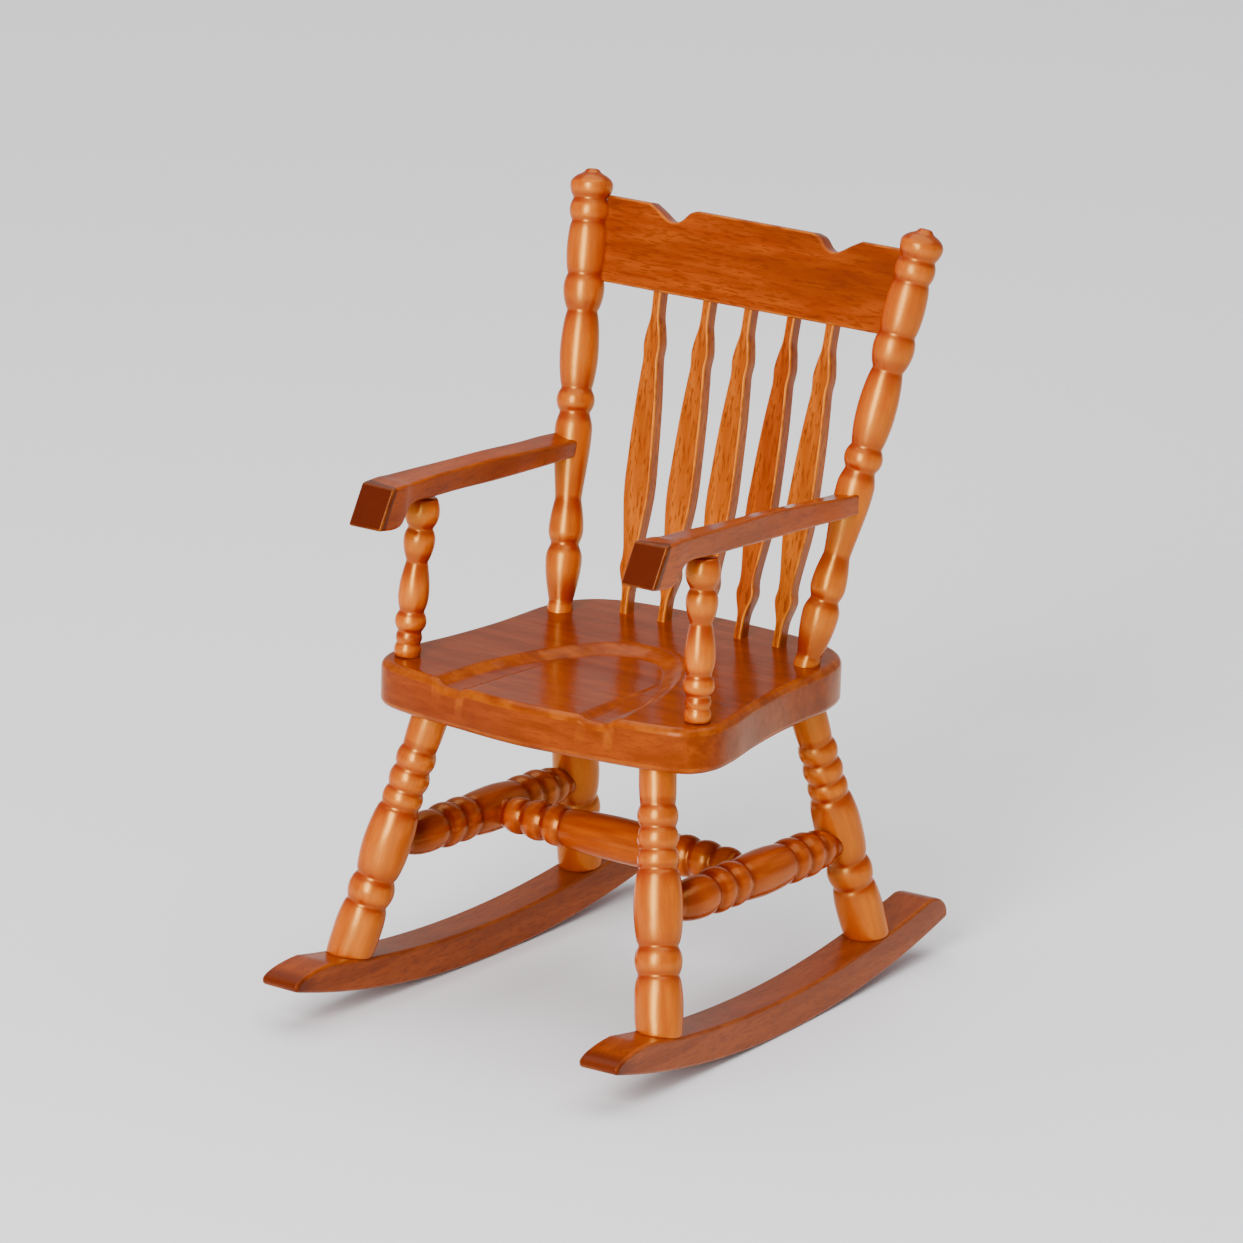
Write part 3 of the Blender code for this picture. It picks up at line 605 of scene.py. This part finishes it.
def make_rocker(hand, side):
    outline = []
    for step in range(ROCKER_STEPS + 1):
        x = ROCKER_HALF_LENGTH * (2 * step / ROCKER_STEPS - 1)
        outline.append((x, rocker_bottom(x)))
    outline += rounded_end(ROCKER_HALF_LENGTH, -ROCKER_TAIL)
    reach = 2 * ROCKER_HALF_LENGTH - ROCKER_TAIL - ROCKER_NOSE
    for step in range(1, ROCKER_STEPS):
        x = ROCKER_HALF_LENGTH - ROCKER_TAIL - reach * step / ROCKER_STEPS
        outline.append((x, rocker_top(x)))
    outline += reversed(rounded_end(-ROCKER_HALF_LENGTH, ROCKER_NOSE))
    name = "rocker_" + hand
    rocker = board(name + "_wood", outline, ROCKER_WIDTH, rocker_frame(side), ROCKERS,
                   ROCKER_EASING)
    darkened = rocker.data.attributes.new("darkening", "FLOAT", "POINT")
    darkening_edge = -ROCKER_HALF_LENGTH + NOSE_DARKENING_REACH
    for vertex, mark in zip(rocker.data.vertices, darkened.data):
        nose_darkness = (darkening_edge - vertex.co.y / MM) / NOSE_DARKENING_FADE
        mark.value = max(0.0, min(NOSE_DARKENING, nose_darkness))
    stands_for(rocker, name)


def rounded_end(tip_x, reach):
    """Points that round a rocker's end from its tip up to its upper edge."""
    tip_y = rocker_bottom(tip_x) + ROCKER_TIP
    rise = rocker_top(tip_x + reach) - tip_y
    points = []
    for step in range(ROCKER_END_STEPS + 1):
        angle = math.pi / 2 * step / ROCKER_END_STEPS
        across = 1 - math.cos(angle)
        points.append((tip_x + reach * across, tip_y + rise * math.sin(angle)))
    return points


def make_leg(hand, side, row):
    head, foot = leg_ends(side, row)
    below_seat = outline_length(LEG_MEMBERS) - LEG_PLUNGE
    start = head + (foot - head).normalized() * below_seat * MM
    name = row + "_leg_" + hand
    into_rocker = rocker_frame(side).inverted()

    def above_rocker(place):
        local = into_rocker @ place / MM
        return local.y - rocker_top(local.x)

    leg = turned(name + "_turning", turned_outline(LEG_START_RADIUS, LEG_MEMBERS), start, head,
                 TURNED, above_rocker)
    stands_for(leg, name)


def make_side_stretcher(hand, side):
    front, rear = side_stretcher_ends(side)
    length = (rear - front).length / MM - 2 * SIDE_STRETCHER_STOP
    outline = turned_outline(STRETCHER_END_RADIUS, fitted(SIDE_STRETCHER_MEMBERS, length))
    start = front + (rear - front).normalized() * SIDE_STRETCHER_STOP * MM
    name = "side_stretcher_" + hand
    stands_for(turned(name + "_turning", outline, start, rear, STRETCHERS), name)


def make_cross_stretcher():
    left, right = cross_stretcher_end(-1), cross_stretcher_end(1)
    length = (right - left).length / MM - 2 * CROSS_STRETCHER_STOP
    barrel = length - 2 * outline_length(CROSS_STRETCHER_HALF)
    members = CROSS_STRETCHER_HALF + [swell(barrel, 2.75, 2.2, 0.5, 0.4)]
    members += turned_round(CROSS_STRETCHER_HALF, STRETCHER_END_RADIUS)
    start = left + (right - left).normalized() * CROSS_STRETCHER_STOP * MM
    piece = turned("cross_stretcher_turning", turned_outline(STRETCHER_END_RADIUS, members),
                   start, right, STRETCHERS)
    stands_for(piece, "cross_stretcher")


def make_back_post(hand, side):
    foot, ball = sided(side, BACK_POST_FOOT), sided(side, BACK_POST_BALL)
    start = foot - (ball - foot).normalized() * POST_PLUNGE * MM
    name = "back_post_" + hand
    outline = turned_outline(POST_START_RADIUS, POST_MEMBERS)
    stands_for(turned(name + "_turning", outline, start, ball, TURNED), name)


def make_arm_post(hand, side):
    foot, head = sided(side, ARM_POST_FOOT), sided(side, ARM_POST_HEAD)
    name = "arm_post_" + hand
    outline = turned_outline(ARM_POST_START_RADIUS, ARM_POST_MEMBERS)
    stands_for(turned(name + "_turning", outline, foot, head, TURNED), name)


ARM_SECTIONS = [
    # y at the top, y at the bottom, inner x, outer x, inner top, outer top, underside
    (-24.9, -27.6, 17.1, 21.9, 65.6, 65.7, 60.9),
    (-22.1, -23.2, 17.3, 21.85, 65.5, 65.8, 60.5),
    (-20.3, -20.3, 17.65, 21.75, 65.3, 65.7, 62.7),
    (-15.2, -15.2, 18.1, 21.6, 65.1, 65.5, 62.4),
    (-8.9, -8.9, 18.5, 21.5, 64.7, 65.2, 62.0),
    (-1.5, -1.5, 18.65, 21.4, 64.3, 64.9, 61.5),
    (6.6, 6.6, 18.65, 21.65, 63.65, 64.25, 61.2),
    (12.1, 12.1, 18.65, 22.2, 63.2, 63.8, 61.05),
    (17.15, 17.15, 18.75, 22.2, 62.9, 63.4, 60.9),
]

# The line in side view ahead of which an arm's front end is drawn darker: darker end grain and
# painted shade.
ARM_END_Y = -24.0
ARM_END_Z = 65.6
ARM_END_SLOPE = 0.55


def finer(sections, columns):
    """The given columns of the sections, with more rows along a smooth curve.

    A Vector has at least two numbers, so a lone column is filled up with zeros.
    """
    knots = [(*section[columns], 0.0) for section in sections]
    return smooth_through(knots, ARM_STEPS)


def make_arm(hand, side):
    """A loft through the arm's sections, finer between them along a smooth curve."""
    shape = bmesh.new()
    rings = []
    fine = zip(finer(ARM_SECTIONS, slice(0, 3)), finer(ARM_SECTIONS, slice(3, 6)),
               finer(ARM_SECTIONS, slice(6, 7)))
    for (top_y, low_y, inner, _), (outer, inner_top, outer_top, _), (under, _) in fine:
        corners = [(inner, top_y, inner_top), (outer, top_y, outer_top),
                   (outer, low_y, under), (inner, low_y, under)]
        rings.append([shape.verts.new(Vector((side * x, y, z)) * MM) for x, y, z in corners])
    for first, second in zip(rings, rings[1:]):
        for index in range(4):
            after = (index + 1) % 4
            shape.faces.new((first[index], first[after], second[after], second[index]))
    shape.faces.new(rings[0])
    shape.faces.new(rings[-1])
    bmesh.ops.recalc_face_normals(shape, faces=shape.faces)
    ease_edges(shape, ARM_EASING)
    end_grain_and_shade = shape.verts.layers.float.new("darkening")
    for vertex in shape.verts:
        below_top = ARM_END_Z - vertex.co.z / MM
        ahead = vertex.co.y / MM < ARM_END_Y - ARM_END_SLOPE * below_top
        vertex[end_grain_and_shade] = 1.0 if ahead else 0.0
    name = "arm_" + hand
    arm = even_shading(new_piece(name + "_wood", shape, Matrix.Identity(4), ARMS))
    stands_for(arm, name)


RAIL_NOTCH = [(8.3, RAIL_HEIGHT), (9.4, 10.2), (10.5, 9.1), (11.5, 8.75), (12.5, 8.95),
              (13.9, 9.8), (15.4, RAIL_HEIGHT)]


def make_crest_rail():
    edge = smooth_through(RAIL_NOTCH, CURVE_STEPS)
    edge += [Vector((RAIL_HALF_LENGTH, RAIL_HEIGHT)), Vector((RAIL_HALF_LENGTH, 0.0))]
    rail = board("crest_rail_wood", both_edges(edge), RAIL_THICKNESS, rail_frame(), RAIL,
                 RAIL_EASING)
    stands_for(rail, "crest_rail")


# Half widths of a slat at heights from its foot. The last one runs on up into the rail.
SLAT_KNOTS = [(0.55, -0.5), (0.55, 2.6), (1.1, 4.7), (1.22, 5.7), (1.02, 7.8), (1.78, 14.5),
              (1.72, 20.0), (1.5, 25.5), (1.2, 29.5), (1.06, 31.4), (1.2, 33.1), (0.95, 34.9),
              (0.6, 36.7)]
SLAT_OVERRUN = 0.5
DARK_SLAT = 3


def make_slat(number):
    step = number - (len(SLAT_HEADS) - 1) / 2
    foot = Vector((step * SLAT_PITCH_SEAT, SLAT_FOOT_Y, SEAT_TOP)) * MM
    head = rail_frame() @ (Vector((SLAT_HEADS[number], 0.0, -SLAT_HEAD_SETBACK)) * MM)
    up = (head - foot).normalized()
    length = (head - foot).length / MM
    knots = SLAT_KNOTS + [(SLAT_KNOTS[-1][0], length + SLAT_OVERRUN)]
    across = (Vector((1, 0, 0)) - up * up.x).normalized()
    matrix = Matrix((across, up, across.cross(up))).transposed().to_4x4()
    matrix.translation = foot
    name = "back_slat_" + str(number + 1)
    wood = DARK_SLATS if number == DARK_SLAT else SLATS
    outline = both_edges(smooth_through(knots, CURVE_STEPS))
    slat = board(name + "_wood", outline, SLAT_THICKNESS, matrix, wood, SLAT_EASING)
    stands_for(slat, name)


SEAT_EDGE = [(0.0, -23.2), (9.1, -22.4), (17.2, -21.3), (22.0, -19.7), (23.9, -16.4),
             (23.8, -12.1), (22.5, -5.2), (21.6, 2.0), (21.4, 7.5), (21.2, 12.5),
             (19.9, 16.9), (16.5, 20.2), (10.7, 21.8), (0.0, 22.4)]
SADDLE_RIM = [(13.3, -26.5), (13.0, -18.9), (12.6, -12.9), (11.9, -9.7), (10.6, -5.2),
              (9.0, -1.2), (6.3, 3.3), (3.2, 5.6), (0.0, 6.2)]
SADDLE_FLOOR = [(11.9, -26.5), (11.6, -18.7), (11.1, -12.9), (10.3, -10.3), (9.0, -6.5),
                (7.3, -3.4), (4.9, 0.4), (2.4, 2.3), (0.0, 2.8)]
SADDLE_WALL_SOFTNESS = 0.4
# How steep the dished walls are where their painted highlight is full.
SADDLE_HIGHLIGHT_SLOPE = 0.4

# The pommel runs back from a high front, falls, and narrows. Its flanks slope away.
POMMEL_FRONT_Y = -27.5
POMMEL_RUN = 26.0
POMMEL_FRONT_DEPTH = 0.2
POMMEL_FALL = 0.73
POMMEL_HALF_WIDTH = 8.2
POMMEL_NARROWING = 0.8
POMMEL_FLANK_SLOPE = 0.55
POMMEL_ROUNDING = 0.12

SEAT_EASING = 1.0
SEAT_EASING_STEPS = 8
SEAT_EDGE_STEPS = 14
SEAT_TOP_RINGS = 120
# Gold on the seat's rounded edge: edge wear and painted highlight.
SEAT_EDGE_GOLD = 0.8
SEAT_MIDDLE = (0.0, -1.0)


def inside_distance(points, half):
    """Signed distance from each point to a curve that is mirrored in x: positive inside it."""
    curve = smooth_through(half, CURVE_STEPS)
    path = [(-p[0], p[1]) for p in curve] + [(p[0], p[1]) for p in reversed(curve)]
    start, end = np.array(path[:-1]), np.array(path[1:])
    run = end - start
    offset = points[:, None, :] - start[None]
    share = np.clip((offset * run).sum(2) / np.maximum((run ** 2).sum(1), 1e-9), 0, 1)
    distance = np.sqrt(((offset - share[..., None] * run) ** 2).sum(2)).min(1)
    half_width = np.interp(points[:, 1], [p[1] for p in curve], [p[0] for p in curve], right=0.0)
    return np.where(abs(points[:, 0]) < half_width, distance, -distance)


def saddle_depth(points):
    """How far the seat's top is cut away at each point (mm)."""
    to_rim = inside_distance(points, SADDLE_RIM)
    to_floor = inside_distance(points, SADDLE_FLOOR)
    below_rim = np.clip(to_rim, 0, None)
    above_floor = np.clip(-to_floor, 0, None)
    wall = below_rim / (below_rim + above_floor + 1e-6)
    eased = wall * wall * (3 - 2 * wall)
    wall = (1 - SADDLE_WALL_SOFTNESS) * wall + SADDLE_WALL_SOFTNESS * eased
    towards_rear = np.clip((points[:, 1] - POMMEL_FRONT_Y) / POMMEL_RUN, 0, 1)
    pommel = POMMEL_FRONT_DEPTH + POMMEL_FALL * towards_rear
    half_width = POMMEL_HALF_WIDTH - POMMEL_NARROWING * towards_rear
    flank = np.clip(abs(points[:, 0]) - half_width, 0, None) * POMMEL_FLANK_SLOPE
    pommel_depth = pommel + np.sqrt(flank ** 2 + POMMEL_ROUNDING ** 2) - POMMEL_ROUNDING
    return wall * np.minimum(SADDLE_DEPTH, pommel_depth)


def saddle_slope(points):
    """How steeply the dished top runs at each point: 0 where flat, 1 on its walls. It sets the
    painted highlight on the walls.
    """
    reach = 0.3
    along_x = saddle_depth(points + (reach, 0)) - saddle_depth(points - (reach, 0))
    along_y = saddle_depth(points + (0, reach)) - saddle_depth(points - (0, reach))
    return np.clip(np.hypot(along_x, along_y) / (2 * reach) / SADDLE_HIGHLIGHT_SLOPE, 0, 1)


def seat_rings():
    """Rings round the seat, from its underside up its edge and in to the middle of its top.

    Each has its points, its height, whether it is dished, and the gold of its rounded edge: edge
    wear and painted highlight.
    """
    mirror = [(-p[0], p[1]) for p in reversed(SEAT_EDGE[1:-1])]
    path = smooth_through(SEAT_EDGE + mirror, SEAT_EDGE_STEPS, closed=True)
    edge = np.array([(p[0], p[1]) for p in path])
    tangent = np.roll(edge, -1, 0) - np.roll(edge, 1, 0)
    normal = np.stack((tangent[:, 1], -tangent[:, 0]), 1)
    normal /= np.linalg.norm(normal, axis=1)[:, None]
    rounding = []
    for step in range(SEAT_EASING_STEPS + 1):
        angle = math.pi / 2 * step / SEAT_EASING_STEPS
        ring = edge - normal * SEAT_EASING * (1 - math.cos(angle))
        gold_share = SEAT_EDGE_GOLD if 0 < step < SEAT_EASING_STEPS else 0.0
        rounding.append((ring, SEAT_EASING * (1 - math.sin(angle)), gold_share))
    rings = [(ring, SEAT_BOTTOM + drop, False, gold_share) for ring, drop, gold_share in reversed(rounding)]
    rings += [(ring, SEAT_TOP - drop, True, gold_share) for ring, drop, gold_share in rounding]
    inner = edge - normal * SEAT_EASING
    for step in range(1, SEAT_TOP_RINGS):
        share = 1 - step / SEAT_TOP_RINGS
        rings.append((SEAT_MIDDLE + (inner - SEAT_MIDDLE) * share, SEAT_TOP, True, 0.0))
    return rings


def make_seat():
    """Rings that shrink from the seat's edge to its middle, with the dished top pressed in."""
    shape = bmesh.new()
    wear_and_highlight = shape.verts.layers.float.new("wear_and_highlight")
    made = []
    for ring, height, dished, edge_gold in seat_rings():
        depth = saddle_depth(ring) if dished else np.zeros(len(ring))
        # The dished walls take gold where they slope: painted highlight.
        gold_share = saddle_slope(ring) if dished else np.zeros(len(ring))
        made.append([])
        for (x, y), d, amount in zip(ring, depth, gold_share + edge_gold):
            vertex = shape.verts.new((x * MM, y * MM, (height - d) * MM))
            vertex[wear_and_highlight] = min(amount, 1.0)
            made[-1].append(vertex)
    count = len(made[0])
    for low, high in zip(made, made[1:]):
        for step in range(count):
            after = (step + 1) % count
            shape.faces.new((low[step], low[after], high[after], high[step]))
    middle_depth = float(saddle_depth(np.array([SEAT_MIDDLE]))[0])
    hub = shape.verts.new(Vector((*SEAT_MIDDLE, SEAT_TOP - middle_depth)) * MM)
    for step in range(count):
        shape.faces.new((hub, made[-1][step], made[-1][(step + 1) % count]))
    shape.faces.new(list(reversed(made[0])))
    bmesh.ops.recalc_face_normals(shape, faces=shape.faces)
    seat = new_piece("seat_wood", shape, Matrix.Identity(4), SEAT)
    stands_for(seat, "seat")


make_seat()
for hand, side in SIDES.items():
    make_rocker(hand, side)
    make_leg(hand, side, "front")
    make_leg(hand, side, "rear")
    make_side_stretcher(hand, side)
    make_back_post(hand, side)
    make_arm_post(hand, side)
    make_arm(hand, side)
make_cross_stretcher()
make_crest_rail()
for number in range(len(SLAT_HEADS)):
    make_slat(number)


# ---------------------------------------------------------------- studio

# Metres, degrees, and the lens in millimetres.
CAMERA_AT = (0.4814, -0.7184, 0.3008)
CAMERA_HEADING = 33.88
CAMERA_DIP = 16.36
CAMERA_ROLL = 1.74
CAMERA_LENS = 217.2
CAMERA_NEAR = 0.01
LIGHTS_AIM = (0.0, 0.0, 0.045)
FLOOR_SIZE = 8.0


def make_camera():
    camera = bpy.data.cameras.new("camera")
    camera.lens = CAMERA_LENS
    camera.clip_start = CAMERA_NEAR
    holder = bpy.data.objects.new("camera", camera)
    bpy.context.scene.collection.objects.link(holder)
    turn = Matrix.Rotation(math.radians(CAMERA_HEADING), 4, "Z")
    tilt = Matrix.Rotation(math.radians(90 - CAMERA_DIP), 4, "X")
    roll = Matrix.Rotation(math.radians(CAMERA_ROLL), 4, "Z")
    holder.matrix_world = Matrix.Translation(CAMERA_AT) @ turn @ tilt @ roll
    bpy.context.scene.camera = holder


def make_floor():
    bpy.ops.mesh.primitive_plane_add(size=FLOOR_SIZE)
    floor = bpy.context.object
    floor.name = "floor"
    material = bpy.data.materials.new("floor")
    material.use_nodes = True
    shader = material.node_tree.nodes["Principled BSDF"]
    shader.inputs["Base Color"].default_value = (0.80, 0.79, 0.80, 1.0)
    shader.inputs["Roughness"].default_value = 0.9
    shader.inputs["Specular IOR Level"].default_value = 0.1
    floor.data.materials.append(material)


def softbox(name, at, width, height, watts):
    lamp = bpy.data.lights.new(name, "AREA")
    lamp.shape = "RECTANGLE"
    lamp.size = width
    lamp.size_y = height
    lamp.energy = watts
    holder = bpy.data.objects.new(name, lamp)
    bpy.context.scene.collection.objects.link(holder)
    holder.location = at
    holder.rotation_mode = "QUATERNION"
    holder.rotation_quaternion = (Vector(LIGHTS_AIM) - Vector(at)).to_track_quat("-Z", "Y")


def make_light():
    world = bpy.data.worlds.new("studio")
    bpy.context.scene.world = world
    world.use_nodes = True
    background = world.node_tree.nodes["Background"]
    background.inputs["Color"].default_value = (0.93, 0.94, 1.0, 1.0)
    background.inputs["Strength"].default_value = 0.55
    softbox("key", (0.14, -0.76, 0.34), 0.30, 0.62, 13.0)
    softbox("overhead", (0.0, 0.1, 1.3), 1.8, 1.8, 23.0)


make_camera()
make_floor()
make_light()
